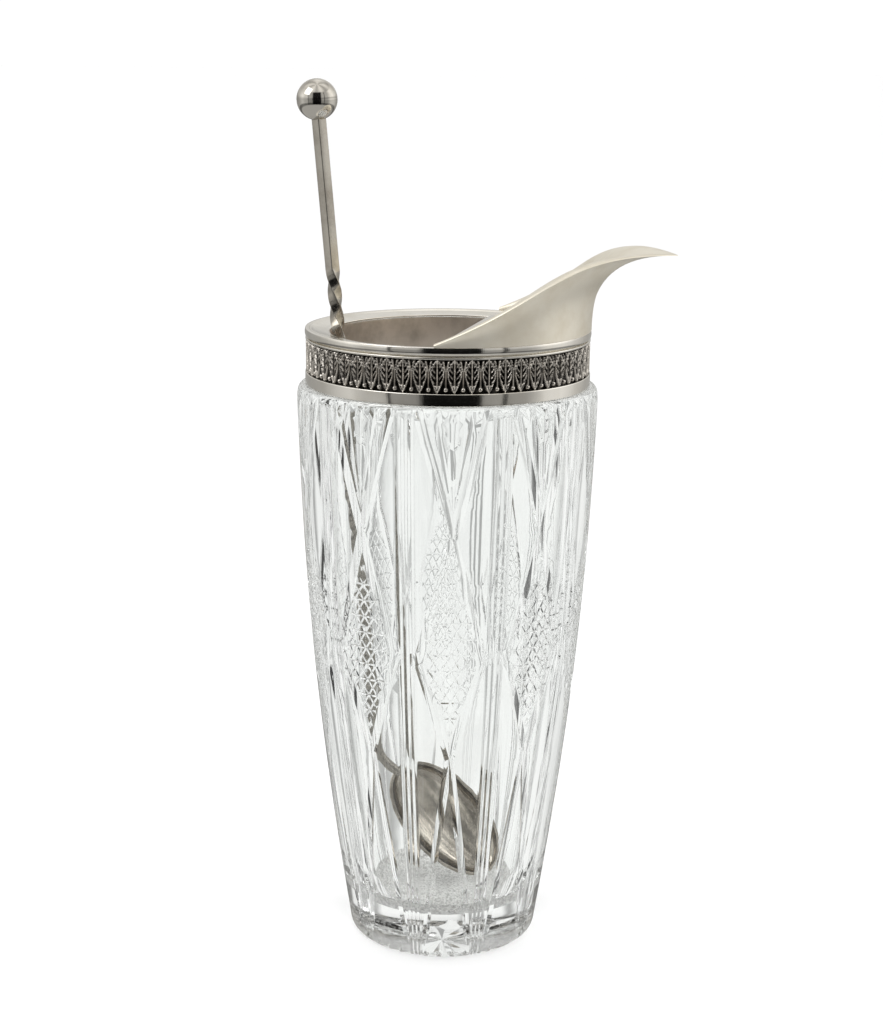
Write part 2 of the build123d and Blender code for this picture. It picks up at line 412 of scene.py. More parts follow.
# Darker copy of the polished silver: painted shade standing in for the bowl's darker reflections inside the
# glass
BOWL_SILVER = silver("bowl_silver", rgba(0.52, 0.48, 0.42), rgba(0.22, 0.195, 0.16),
                     roughness=0.03, patchy=0.05, bump=0.7)
CRYSTAL = crystal("cut_crystal", rgba(0.985, 0.992, 0.988),
                  clarity=1.0, roughness=0.0, bump=0.06, pit_size=130)
FROSTED = crystal("frosted_crystal", rgba(0.94, 0.94, 0.92),
                  clarity=0.6, roughness=0.4, bump=1.0, pit_size=1200, shade=rgba(0.33, 0.33, 0.315))
CEMENT = plaster(rgba(0.42, 0.40, 0.36), rgba(0.62, 0.60, 0.55))


# ---------------------------------------------------------------- glass: the outer line and the cuts
def wall_line(points, count):
    """A smooth line of (radius, height) in metres through wall points in millimetres."""
    radius, height = np.array(points).T * MM
    curve = np.polynomial.Polynomial.fit(height, radius, WALL_DEGREE)
    heights = np.linspace(height[0], height[-1], count)
    return np.stack([curve(heights), heights], 1)


def outer_line():
    """Outer line of the glass from the base edge to the shoulder."""
    wall = wall_line(OUTER_WALL, OUTER_STEPS)
    foot = bend((BASE_RADIUS, 0), FOOT_BEND, wall[0], FOOT_STEPS)
    top = (wall[-1][0], CROWN_FOOT)
    crown = bend(top, (CROWN_RADIUS, SHOULDER), (SHOULDER_RADIUS, SHOULDER), CROWN_STEPS)
    return np.concatenate([[(BASE_RADIUS, 0.0)], foot, wall[1:], [top], crown])


OUTER = outer_line()
STATION = np.concatenate([[0], np.cumsum(np.hypot(*np.diff(OUTER, axis=0).T))]) / MM
TOP_STATION = STATION[-1]


def station(height):
    """Distance along the outer line, in millimetres, of a height in millimetres."""
    return float(np.interp(height * MM, OUTER[:, 1], STATION))


def outer_at(stations):
    """Radius and height, in metres, of the outer line at an array of stations."""
    return np.stack([np.interp(stations, STATION, OUTER[:, k]) for k in (0, 1)], 1)


def plan(angle, height):
    """A point of the unrolled panel, in millimetres."""
    return np.array([angle * MM_PER_DEGREE, station(height)])


# Angles of the columns of points: plain ones, and those at every crest and hollow of the flutes
PLAIN_ANGLES = [PLAIN_STEP * k for k in range(PLAIN_COLUMNS)]
FLUTE_COUNTS = [k + turn * FLUTE_ROUNDING for k in range(FLUTE_HALVES + 1) for turn in (-1, 0, 1)
                if k + turn >= 0]
FLUTE_ANGLES = sorted(HALF_PANEL - count * FLUTE_STEP for count in FLUTE_COUNTS)
SIDE = HALF_PANEL * MM_PER_DEGREE
HATCH_CENTRE = station(HATCH_MIDDLE)


def arm_segments():
    """Centre lines of the crossing mitre cuts in one half panel."""
    points = [plan(*point) for point in ARM_POINTS]
    return list(zip(points, points[1:]))


def ray_segments():
    """Centre lines of the fan of rays under the shoulder."""
    apex = plan(0, RAY_APEX)
    return [(apex, plan(angle, RAY_TOP)) for angle in RAY_ANGLES]


def along_and_away(points, start, end):
    """Share of the way along a line and distance from it of some points, and the line's length."""
    run = end - start
    length = np.linalg.norm(run)
    run = run / length
    offset = points - start
    return offset @ run / length, np.abs(offset[:, 0] * run[1] - offset[:, 1] * run[0]), length


def hatch_half_width(s):
    share = 1 - np.abs(s - HATCH_CENTRE) / HATCH_REACH
    return np.clip(share * HATCH_FLARE, 0, HATCH_SIDE) * MM_PER_DEGREE


def hatch_families():
    """Unit normal and spacing of each of the three sets of parallel hatch lines."""
    slant = np.array([1 / (HATCH_PITCH * MM_PER_DEGREE), 1 / HATCH_ROW])
    spacing = 1 / np.linalg.norm(slant)
    rising, falling = slant * spacing, slant * (1, -1) * spacing
    return [(rising, spacing), (falling, spacing), (np.array([0.0, 1.0]), HATCH_ROW)]


def flute_depth(beside, grow):
    """Depth of the side-by-side flutes, counted in flute halves from the middle one's bottom."""
    away = np.abs(beside - np.round(beside))
    soft = away ** 2 / (2 * FLUTE_ROUNDING) + FLUTE_ROUNDING / 2
    blend = np.where(away < FLUTE_ROUNDING, soft, away)
    wave = np.where(np.round(beside) % 2 == 0, 1 - blend, blend)
    left = np.clip(FLUTE_HALVES + FLUTE_ROUNDING - beside, 0, 2 * FLUTE_ROUNDING)
    run_out = left ** 2 / (4 * FLUTE_ROUNDING)
    wave = np.where(beside > FLUTE_HALVES - FLUTE_ROUNDING, run_out, wave)
    return np.where(beside < FLUTE_HALVES + FLUTE_ROUNDING + grow, FLUTE_DEPTH * wave + grow, 0)


def cut_depth(points, grow=0.0):
    """Depth of the cuts, in millimetres, at an array of points of the half panel."""
    x, s = points[:, 0], points[:, 1]
    depth = flute_depth((HALF_PANEL - x / MM_PER_DEGREE) / FLUTE_STEP, grow)
    for start, end in arm_segments():
        share, away, length = along_and_away(points, start, end)
        inside = (share > -ARM_LEAD / length) & (share < 1 + ARM_TAIL / length)
        cut = np.maximum(depth, ARM_SLOPE * (ARM_WIDTH + grow - away))
        depth = np.where(inside, cut, depth)
    for start, end in ray_segments():
        share, away, length = along_and_away(points, start, end)
        depth = np.maximum(depth, RAY_SLOPE * (RAY_WIDTH * share + grow - away) * (share > 0))
    margin = smooth_step(hatch_half_width(s) - x, 0, HATCH_FADE)
    for normal, spacing in hatch_families():
        offset = (points - (0, HATCH_CENTRE)) @ normal / spacing
        away = np.abs(offset - np.round(offset)) * spacing
        depth = np.maximum(depth, HATCH_SLOPE * (HATCH_WIDTH - away) * margin)
    fade = 1 - smooth_step(s, station(CUTS_END[0]), station(CUTS_END[1]))
    return depth * fade


def clipped(start, end, inside):
    """The part of a straight line where inside() holds, found by sampling it, or None."""
    t = np.linspace(0, 1, CLIP_SAMPLES)
    points = start + (end - start) * t[:, None]
    keep = np.nonzero(inside(points))[0]
    if len(keep) < 3:
        return None
    return points[keep[0]], points[keep[-1]]


def in_panel(points):
    x, s = points[:, 0], points[:, 1]
    return (x > -1e-9) & (x < SIDE) & (s > BASE_MARGIN) & (s < TOP_STATION - TOP_MARGIN)


def in_hatch(points):
    return (points[:, 0] > -1e-9) & (points[:, 0] < hatch_half_width(points[:, 1]))


def groove_lines(start, end, width_start, width_end, inside):
    """The bottom and the two borders of a groove, as clipped lines."""
    run = (end - start) / np.linalg.norm(end - start)
    across = np.array([run[1], -run[0]])
    lines = [clipped(start + across * width_start * side, end + across * width_end * side, inside)
             for side in (-1, 0, 1)]
    return [line for line in lines if line is not None]


def pattern_lines():
    """All the straight lines of the cuts in one half panel."""
    lines = []
    for start, end in arm_segments():
        run = (end - start) / np.linalg.norm(end - start)
        lines += groove_lines(start - run * ARM_LEAD, end + run * ARM_TAIL, ARM_WIDTH, ARM_WIDTH, in_panel)
    for start, end in ray_segments():
        lines += groove_lines(start, end, RAY_START_WIDTH, RAY_WIDTH, in_panel)
    for normal, spacing in hatch_families():
        reach = np.array([normal[1], -normal[0]]) * 2 * HATCH_REACH
        for k in range(-HATCH_LINES, HATCH_LINES + 1):
            middle = np.array([0, HATCH_CENTRE]) + normal * spacing * k
            lines += groove_lines(middle - reach, middle + reach, HATCH_WIDTH, HATCH_WIDTH, in_hatch)
    for height in CROSSING_HEIGHTS:
        lines.append((plan(0, height), plan(0, height) + (ARM_WIDTH * CROSSING_REACH, 0)))
    return lines


def half_panel():
    """Triangles of the unrolled half panel, with an edge along every line of the cuts."""
    foot, crown = station(OUTER_WALL[0][1]), station(CROWN_FOOT / MM)
    rows = np.concatenate([np.linspace(0, foot, FOOT_ROWS), np.linspace(foot, crown, WALL_ROWS)[1:],
                           np.linspace(crown, TOP_STATION, CROWN_ROWS)[1:]])
    columns = np.array(PLAIN_ANGLES) * MM_PER_DEGREE
    flutes = np.array(FLUTE_ANGLES) * MM_PER_DEGREE
    verts, edges = [], []

    def chain(points):
        first = len(verts)
        verts.extend(tuple(p) for p in points)
        edges.extend((first + i, first + i + 1) for i in range(len(points) - 1))

    for x in [0.0, *flutes]:
        chain([(x, s) for s in rows])
    for s in (0.0, TOP_STATION):
        chain([(x, s) for x in [*columns, *flutes]])
    free = np.array([(x, s) for x in columns[1:] for s in rows[1:-1]])
    verts.extend(tuple(p) for p in free[cut_depth(free, FREE_MARGIN) == 0])
    for start, end in pattern_lines():
        steps = max(1, round(np.linalg.norm(end - start) / CHAIN_STEP))
        chain([start + (end - start) * k / steps for k in range(steps + 1)])
    points, _, faces, *_ = delaunay_2d_cdt([Vector(v) for v in verts], edges, [], 0, JOIN_DISTANCE)
    return np.round(points, 6), np.array([f for f in faces if len(f) == 3])


def on_outer(points):
    """Radius and height, in metres, of unrolled points sunk by the depth of the cuts."""
    s = points[:, 1]
    run = outer_at(s + TANGENT_REACH) - outer_at(s - TANGENT_REACH)
    tangent = run / np.linalg.norm(run, axis=1, keepdims=True)
    inward = np.stack([-tangent[:, 1], tangent[:, 0]], 1)
    sunk = outer_at(s) + inward * cut_depth(points)[:, None] * MM
    sunk[s < 1e-6, 1] = 0
    return sunk[:, 0], sunk[:, 1]


def inner_line():
    """Line from the shoulder over the neck and down the bore to the middle of the floor."""
    neck = [(SHOULDER_RADIUS, SHOULDER), (NECK_RADIUS, SHOULDER), (NECK_RADIUS, NECK_TOP),
            (BORE_RADIUS, NECK_TOP), (BORE_RADIUS, BORE_TOP)]
    wall = wall_line(INNER_WALL, INNER_STEPS)
    floor = bend(wall[-1], FLOOR_BEND, (FLOOR_RADIUS, FLOOR_HEIGHT), FLOOR_STEPS)
    disc = [(FLOOR_RADIUS * share, FLOOR_HEIGHT) for share in FLOOR_RINGS]
    return np.concatenate([neck, wall, floor, disc])


def bore_patch(turns):
    """Vertices, faces and marks of neck, bore and floor, with the floor frosted."""
    line, count = inner_line(), len(turns)
    verts = [point for r, z in line for point in circle(r, z, turns)] + [(0, 0, FLOOR_HEIGHT)]
    quads = grid_faces(len(line), count)
    fan = fan_faces((len(line) - 1) * count, count, len(verts) - 1)
    marks = [FROST if line[face[0] // count][1] < FROST_TOP else CLEAR for face in quads]
    return verts, quads + fan, marks + [FROST] * count


def star_patch(turns, edge):
    """Vertices, faces and marks of the base, with a star of rays; edge gives the rim's radius by angle."""
    verts, count = [], len(turns)
    for ring in (None, *STAR_RINGS):
        for a in turns:
            off = (math.degrees(a - PANEL_TURN) + HALF_PANEL) % (2 * HALF_PANEL) - HALF_PANEL
            radius = edge[round(abs(off), 2)] if ring is None else ring * MM
            crest = abs((off * STAR_RAYS / 180) % 2 - 1)
            deep = radius * math.pi / STAR_RAYS * STAR_SLOPE * (1 - smooth_step(radius / MM, *STAR_RIM))
            verts.append((radius * math.cos(a), radius * math.sin(a), float(deep * (1 - crest))))
    verts.append((0, 0, 0))
    quads = [face[::-1] for face in grid_faces(len(STAR_RINGS) + 1, count)]
    fan = fan_faces(len(STAR_RINGS) * count, count, len(verts) - 1, flip=True)
    return verts, quads + fan, [CLEAR] * (len(quads) + count)


def welded(patches):
    """Patches of (vertices, faces, marks) joined where their vertices coincide."""
    verts, faces, marks = [], [], []
    for part_verts, part_faces, part_marks in patches:
        first = len(verts)
        verts.extend(part_verts)
        faces.extend([first + int(i) for i in face] for face in part_faces)
        marks.extend(part_marks)
    verts = np.array(verts)
    _, first, weld = np.unique(np.round(verts, WELD_DECIMALS), axis=0, return_index=True,
                               return_inverse=True)
    weld = weld.reshape(-1)
    faces = [[int(weld[i]) for i in face] for face in faces]
    kept = [(face, mark) for face, mark in zip(faces, marks) if len(set(face)) == len(face)]
    return verts[first], [face for face, _ in kept], [mark for _, mark in kept]


def glass_body():
    """The whole glass, closed: cut outer wall, neck, bore, floor and the star under the base."""
    points, triangles = half_panel()
    degrees = points[:, 0] / MM_PER_DEGREE
    radius, height = on_outer(points)
    patches = []
    for panel in range(PANELS):
        for mirror in (1, -1):
            angle = PANEL_TURN + panel * TAU / PANELS + mirror * np.radians(degrees)
            wall = np.stack([radius * np.cos(angle), radius * np.sin(angle), height], 1)
            patches.append((wall, triangles[:, ::mirror], [CLEAR] * len(triangles)))

    half = PLAIN_ANGLES + FLUTE_ANGLES
    whole = [-angle for angle in reversed(half[1:-1])] + half
    turns = [PANEL_TURN + math.radians(panel * 360 / PANELS + angle)
             for panel in range(PANELS) for angle in whole]
    on_base = points[:, 1] < 1e-6
    edge = dict(zip(np.round(degrees, 2)[on_base], radius[on_base]))
    patches += [bore_patch(turns), star_patch(turns, edge)]

    verts, faces, marks = welded(patches)
    obj = new_object("cut_glass", verts, faces, [CRYSTAL, FROSTED], sharp=22)
    obj.data.polygons.foreach_set("material_index", marks)
    obj.visible_shadow = False
    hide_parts("glass_body")


# ---------------------------------------------------------------- silver collar
# Turned bands on the sleeve: node, piece, rounding of the edges, bulge of the outer face
BANDS = (("lower_band", "lower_band_ring", 0.35 * MM, 0.0),
         ("fillet_wire", "fillet_ring", 0.3 * MM, 0.0),
         ("upper_band", "upper_band_ring", 0.3 * MM, 0.2 * MM))
LEDGE_DISH = ((42.9, 201.3), (42.3, 201.0), (41.2, 200.75), (39.0, 200.4), (37.9, 200.32))
LEDGE_ROUNDING = 0.25 * MM
LINER_ROUNDING = 0.15 * MM


def ring_section(inner, outer, bottom, top, bulge=0.0):
    """An anticlockwise section of a band whose outer face may bulge a little."""
    middle = [(outer + bulge * math.sin(math.pi * k / 6), bottom + (top - bottom) * k / 6)
              for k in range(1, 6)]
    return [(inner, bottom), (outer, bottom)] + (middle if bulge else []) + [(outer, top), (inner, top)]


def collar():
    """Turned silver bands, ledge and liner of the collar."""
    for node, name, rounding, bulge in BANDS:
        low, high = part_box(node)
        section = ring_section(SLEEVE_RADIUS, high.x - bulge, low.z, high.z, bulge)
        band = lathe(name, rounded(section, rounding), POLISHED)
        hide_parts(node)

    low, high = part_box("rim_ledge")
    dish = [(radius * MM, height * MM) for radius, height in LEDGE_DISH]
    section = [(MOUTH_RADIUS, low.z), (SLEEVE_RADIUS, low.z), (SLEEVE_RADIUS, high.z), *dish,
               (MOUTH_RADIUS, LEDGE_INNER_TOP)]
    ledge = lathe("ledge_ring", rounded(section, LEDGE_ROUNDING), POLISHED)
    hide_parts("rim_ledge")

    low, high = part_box("mouth_liner")
    section = ring_section(MOUTH_RADIUS, high.x, low.z, high.z)
    liner = lathe("liner_ring", rounded(section, LINER_ROUNDING), LINER)
    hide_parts("mouth_liner")


# Frieze: hanging leaves between stems with a ball, repeated round the collar; pitches in millimetres
FRIEZE_MOTIFS = 54
FRIEZE_COLUMNS = 26
FRIEZE_ROWS = 52
FRIEZE_GROUND = 43.85 * MM
FRIEZE_PITCH = TAU * 44.7 / FRIEZE_MOTIFS
LEAF_WIDTH = 1.95
LEAF_BOTTOM = 0.35
LEAF_FILL = 4.6
BARB_PITCH = 1.75
BARB_SLANT = 1.35
PEARL_HEIGHT = 1.15
PEARL_RADIUS = 0.78
FAN_ROOT = 5.7
FRIEZE_RECESS = rgba(0.006, 0.005, 0.004)
FRIEZE_RAISED = rgba(0.97, 0.92, 0.86)


def ridge(distance, width):
    """Height of a rounded ridge, from 0 to 1, at a distance from its middle."""
    return np.clip(1 - (distance / width) ** 2, 0, 1) ** 0.6


def frieze_relief(x, y):
    """Relief, from 0 to 1, of one motif; x from the stem, y from the lower edge, in millimetres."""
    leaf = FRIEZE_PITCH / 2 - abs(x)
    spine = ridge(leaf, 0.34) * smooth_step(y, 0.7, 1.4)
    border = LEAF_WIDTH * np.clip((y - LEAF_BOTTOM) / LEAF_FILL, 0, 1) ** 0.75
    outline = ridge(leaf - border, 0.3) * (1 - smooth_step(y, 6.4, 7.6))
    tip = smooth_step(border - leaf, 0, 0.3) * window(y, (0.5, 0.9), (2.1, 2.6))
    rib = (y - BARB_SLANT * leaf) / BARB_PITCH
    barb = ridge(np.abs(rib - np.round(rib)) * BARB_PITCH, 0.42) * window(y, (2.6, 3.2), (8.6, 9.2))
    barb = barb * smooth_step(leaf, 0.45, 0.6) * smooth_step(border + 0.25 - leaf, 0, 0.3)
    stem = ridge(abs(x), 0.3) * window(y, (1.4, 1.7), (6.6, 7.2))
    pearl = np.sqrt(np.clip(1 - (x ** 2 + (y - PEARL_HEIGHT) ** 2) / PEARL_RADIUS ** 2, 0, 1))
    above = np.maximum(y - FAN_ROOT, 0)
    fan = np.arctan2(abs(x), np.maximum(y - FAN_ROOT, 1e-6))
    inner = ridge(np.abs(fan - 0.21) * above, 0.36) * (fan < 1)
    outer = ridge(np.abs(fan - 0.52) * above, 0.32) * (fan < 1)
    petals = np.maximum(inner, outer * 0.8) * window(y, (6.3, 6.9), (9.5, 9.9))
    parts = (0.95 * spine, outline, 0.75 * tip, 0.85 * barb, 0.95 * stem, pearl, petals)
    return np.clip(np.maximum.reduce(parts), 0, 1)


def frieze():
    """The relief as one closed ring, with a plain back on the sleeve."""
    low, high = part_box("frieze_strip")
    columns = FRIEZE_MOTIFS * FRIEZE_COLUMNS
    angles = full_turn(columns)
    x = (np.arange(columns) % FRIEZE_COLUMNS / FRIEZE_COLUMNS - 0.5) * FRIEZE_PITCH
    verts = []

    def add_ring(radius, height):
        verts.append(np.stack([radius * np.cos(angles), radius * np.sin(angles),
                               np.full(columns, height)], 1))

    for share in np.linspace(0, 1, FRIEZE_ROWS + 1):
        y = share * (high.z - low.z) / MM
        relief = frieze_relief(x, np.full(columns, y))
        add_ring(FRIEZE_GROUND + (high.x - FRIEZE_GROUND) * relief, low.z + y * MM)
    add_ring(SLEEVE_RADIUS, high.z)
    add_ring(SLEEVE_RADIUS, low.z)
    faces = grid_faces(len(verts), columns, close_rows=True)
    material = oxidised_silver(FRIEZE_GROUND, high.x, FRIEZE_RECESS, FRIEZE_RAISED)
    obj = new_object("frieze_relief", np.concatenate(verts), faces, [material], sharp=60)
    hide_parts("frieze_strip")


# ---------------------------------------------------------------- pouring lip
LIP_THICKNESS = 1.1 * MM
LIP_EDGE = [(5.5, 44.66, 0.0), (39.5, 44.0, 13.7), (42.0, 40.0, 24.2), (55.0, 24.0, 26.7),
            (71.5, 0.0, 24.6)]
LIP_RISE = 0.53
LIP_FLARE = 0.83
LIP_CREST = 0.16 * LIP_THICKNESS
LIP_GROOVE = ((0.1, 0.0), (0.35, 0.3), (0.6, 0.0))
LIP_START = 0.01
LIP_CROWDING = 1.4
LIP_STATIONS = 90
LIP_STEPS = 22


def bezier(points, t):
    degree = len(points) - 1
    total = Vector((0, 0, 0))
    for i, point in enumerate(points):
        total += Vector(point) * (math.comb(degree, i) * (1 - t) ** (degree - i) * t ** i)
    return total


def lip_section(t, side):
    """Closed strip of the lip's sheet: up the outside to the free edge, over it and down the inside."""
    edge = bezier(LIP_EDGE, t) * MM
    edge.y *= side
    outward = Vector((edge.x, edge.y, 0)).normalized()
    root = outward * COLLAR_RADIUS
    flare = Vector((edge.x, edge.y, 0)) - root
    inward = outward * -LIP_THICKNESS
    upward = Vector((0, 0, LIP_THICKNESS * 0.9)) + inward * 0.35
    outer = [root, root + Vector((0, 0, LIP_RISE * edge.z)), edge - flare * LIP_FLARE, edge]
    inner = [root + inward, outer[1] + inward, outer[2] + inward * 0.75 + upward * 0.4,
             edge + upward * 0.5 + inward * 0.5]
    lift = Vector((0, 0, RIM))
    rise = [bezier(outer, k / LIP_STEPS) + lift for k in range(LIP_STEPS + 1)]
    fall = [bezier(inner, k / LIP_STEPS) + lift for k in range(LIP_STEPS, -1, -1)]
    last, into = rise[-1] - rise[-2], fall[0] - rise[-1]
    groove = [rise[-2] + last * share + into * deep for share, deep in LIP_GROOVE]
    crest = [rise[-1].lerp(fall[0], share) + last.normalized() * LIP_CREST * math.sin(math.pi * share)
             for share in (0.25, 0.5, 0.75)]
    return rise[:-1] + groove + rise[-1:] + crest + fall


def pouring_lip():
    """One sheet from one root round the tip to the other."""
    steps = [LIP_START + (1 - LIP_START) * (i / LIP_STATIONS) ** LIP_CROWDING
             for i in range(LIP_STATIONS + 1)]
    sections = [lip_section(t, -1) for t in steps] + [lip_section(t, 1) for t in reversed(steps[:-1])]
    verts = [point for section in sections for point in section]
    faces = [face[::-1] for face in tube_faces(len(sections), len(sections[0]))]
    lip = new_object("lip_sheet", verts, faces, [SATIN], sharp=40)
    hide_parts("pouring_lip")


# ---------------------------------------------------------------- ice guard
GUARD_ROUNDING = 0.35 * MM
GUARD_HOLLOW = 0.06 * MM
GUARD_STEPS = 40


def ice_guard():
    """Bar across the mouth with rounded edges and its ends cut to the round of the mouth."""
    low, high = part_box("ice_guard")
    middle, half = (low.x + high.x) / 2, (high.x - low.x) / 2
    reach = GUARD_ROUNDING
    section = [(-half + reach * 0.4, low.z), (half - reach * 0.4, low.z)]
    section += [tuple(p) for p in bend((half, low.z + reach), (half, high.z), (half - reach, high.z), 4)]
    section += [(half * share, high.z - GUARD_HOLLOW * (1 - share * share)) for share in (0.5, 0, -0.5)]
    section += [tuple(p) for p in bend((-half + reach, high.z), (-half, high.z), (-half, low.z + reach), 4)]
    verts = []
    for k in range(GUARD_STEPS + 1):
        share = 2 * k / GUARD_STEPS - 1
        for x, z in section:
            end = math.sqrt(MOUTH_RADIUS ** 2 - (middle + x) ** 2)
            verts.append((middle + x, share * end, z))
    faces = [face[::-1] for face in tube_faces(GUARD_STEPS + 1, len(section))]
    guard = new_object("guard_bar", verts, faces, [POLISHED], sharp=40)
    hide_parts("ice_guard")


# ---------------------------------------------------------------- stirrer
STIR_AZIMUTH = math.radians(194.0)
LEAN = math.radians(5.0)
LEAN_OUT = Vector((math.cos(STIR_AZIMUTH), math.sin(STIR_AZIMUTH), 0))
LEAN_ACROSS = Vector((math.sin(STIR_AZIMUTH), -math.cos(STIR_AZIMUTH), 0))
BAR_SIDE = 3.3 * MM
BAR_ROUNDING = 0.3 * MM
BAR_RIM_RADIUS = 34.6 * MM
BAR_STEP = 0.6 * MM
FOOT_HEIGHT = 58.0 * MM
FOOT_SHARE = 0.7
TAPER_LENGTH = 16 * MM
TWIST_TOP = 219.4 * MM
TWIST_BOTTOM = 74.0 * MM
TWIST_PITCH = 31.5 * MM
TWIST_START = math.radians(45)
PLAIN_ROWS = 16
BALL_RADIUS = 6.3 * MM
BALL_HEIGHT = 270.9 * MM
BALL_STEPS = 72
BALL_SEGMENTS = 96
SEAM_DEPTH = 0.05 * MM
SEAM_WIDTH = 0.02
NECK_RADII = (2.0 * MM, 1.5 * MM)
NECK_OVERLAP = 2.0 * MM
NECK_START = 5 * MM
NECK_STEPS = 16
NECK_SEGMENTS = 24
BOWL_SIZE = (48.0 * MM, 26.0 * MM, 8.0 * MM)
BOWL_THICKNESS = 1.1 * MM
BOWL_RIM_RISE = 0.12 * MM
BOWL_CENTRE = (-0.9 * MM, 37.5 * MM)
BOWL_SLOPE = math.radians(46)
BOWL_ROLL = math.radians(70)
BOWL_STEPS = 20
BOWL_SEGMENTS = 96


def leaning_point(outward, height):
    """A point in the upright plane in which the stirrer leans."""
    return LEAN_OUT * outward + Vector((0, 0, height))


def bar_point(height):
    """A point on the centre line of the stirrer's bar."""
    return leaning_point(BAR_RIM_RADIUS + (height - LEDGE_INNER_TOP) * math.tan(LEAN), height)


BAR_AXIS = (bar_point(BALL_HEIGHT) - bar_point(FOOT_HEIGHT)).normalized()


def stirrer_bar():
    """Square bar, plain at the top and twisted below, one mesh from foot to ball."""
    half = BAR_SIDE / 2
    section = rounded([(half, half), (-half, half), (-half, -half), (half, -half)], BAR_ROUNDING, 3)
    twisted = np.arange(FOOT_HEIGHT, TWIST_TOP + 1.5 * MM, BAR_STEP)
    plain = np.linspace(TWIST_TOP + 2 * MM, BALL_HEIGHT - 2 * MM, PLAIN_ROWS)
    heights = [*twisted, *plain]
    verts = []
    for height in heights:
        down = min(max(TWIST_TOP - height, 0), TWIST_TOP - TWIST_BOTTOM) / math.cos(LEAN)
        turn = TWIST_START + TAU / TWIST_PITCH * down
        taper = min(1.0, FOOT_SHARE + (height - FOOT_HEIGHT) / TAPER_LENGTH)
        cos, sin = math.cos(turn) * taper, math.sin(turn) * taper
        local = [(x * cos - y * sin, x * sin + y * cos, 0) for x, y in section]
        verts += place(local, bar_point(height), LEAN_ACROSS, BAR_AXIS)
    faces = tube_faces(len(heights), len(section))
    bar = new_object("twisted_bar", verts, faces, [BAR_SILVER], sharp=34, body=STIRRER)
    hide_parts("stirrer_bar")


def finial_ball():
    """Polished ball with a fine soldered seam round its waist."""
    local = []
    for k in range(1, BALL_STEPS):
        angle = math.pi * k / BALL_STEPS
        radius = BALL_RADIUS - SEAM_DEPTH * math.exp(-((angle - math.pi / 2) / SEAM_WIDTH) ** 2)
        local += circle(radius * math.sin(angle), -radius * math.cos(angle), full_turn(BALL_SEGMENTS))
    low, last = len(local), len(local) - BALL_SEGMENTS
    local += [(0, 0, -BALL_RADIUS), (0, 0, BALL_RADIUS)]
    faces = grid_faces(BALL_STEPS - 1, BALL_SEGMENTS)
    faces += fan_faces(0, BALL_SEGMENTS, low, flip=True) + fan_faces(last, BALL_SEGMENTS, low + 1)
    verts = place(local, bar_point(BALL_HEIGHT), LEAN_ACROSS, BAR_AXIS)
    ball = new_object("ball_finial", verts, faces, [BALL_SILVER], body=STIRRER)
    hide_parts("finial_ball")


def bowl_neck():
    """Rounded rod that turns from the foot of the bar into the upper end of the bowl."""
    reach = BOWL_SIZE[0] / 2 - NECK_OVERLAP
    start, turn = bar_point(FOOT_HEIGHT + NECK_START), bar_point(FOOT_HEIGHT)
    end = leaning_point(BOWL_CENTRE[0] + reach * math.cos(BOWL_SLOPE),
                        BOWL_CENTRE[1] + reach * math.sin(BOWL_SLOPE))
    verts = []
    for k in range(NECK_STEPS + 1):
        t = k / NECK_STEPS
        centre = start * (1 - t) ** 2 + turn * 2 * t * (1 - t) + end * t * t
        along = (turn - start) * (1 - t) + (end - turn) * t
        radius = NECK_RADII[0] + (NECK_RADII[1] - NECK_RADII[0]) * t
        verts += place(circle(radius, 0, full_turn(NECK_SEGMENTS)), centre, LEAN_ACROSS, along)
    faces = tube_faces(NECK_STEPS + 1, NECK_SEGMENTS)
    neck = new_object("bowl_neck", verts, faces, [BAR_SILVER], sharp=50, body=STIRRER)


def spoon_bowl():
    """Oval bowl of even thickness with a rounded rim."""
    length, width, depth = BOWL_SIZE[0] / 2, BOWL_SIZE[1] / 2, BOWL_SIZE[2]
    thick = BOWL_THICKNESS
    angles = full_turn(BOWL_SEGMENTS)
    sweep = [math.pi / 2 * k / BOWL_STEPS for k in range(1, BOWL_STEPS + 1)]
    profile = [(math.sin(angle), math.cos(angle)) for angle in sweep]
    local = []

    def add_oval(inset, share, height):
        local.extend(((length - inset) * share * math.cos(a), (width - inset) * share * math.sin(a), height)
                     for a in angles)

    for share, fall in profile:
        add_oval(0, share, -depth * fall)
    add_oval(thick / 2, 1, BOWL_RIM_RISE)
    for share, fall in reversed(profile):
        add_oval(thick, share, -(depth - thick) * fall)
    rows = 2 * BOWL_STEPS + 1
    outer, last = len(local), len(local) - BOWL_SEGMENTS
    local += [(0, 0, -depth), (0, 0, -(depth - thick))]
    faces = grid_faces(rows, BOWL_SEGMENTS)
    faces += fan_faces(0, BOWL_SEGMENTS, outer, flip=True) + fan_faces(last, BOWL_SEGMENTS, outer + 1)
    tilt = (Matrix.Rotation(STIR_AZIMUTH, 3, "Z") @ Matrix.Rotation(-BOWL_SLOPE, 3, "Y")
            @ Matrix.Rotation(-BOWL_ROLL, 3, "X"))
    verts = [tilt @ Vector(v) + leaning_point(*BOWL_CENTRE) for v in local]
    bowl = new_object("oval_bowl", verts, faces, [BOWL_SILVER], sharp=50, body=STIRRER)
    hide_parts("spoon_bowl")


# ---------------------------------------------------------------- camera, floor and light
TURN = math.radians(14)
CAMERA_PLACE = (0.0, -592.0, 284.2)
CAMERA_YAW = 0.0026
CAMERA_PITCH = 0.2366
CAMERA_ROLL = 0.0094
LENS = 66.53
LIGHT_TARGET = Vector((0, 0, 120 * MM))
FLOOR_SIZE = 40.0
FLOOR_DROP = 0.4 * MM

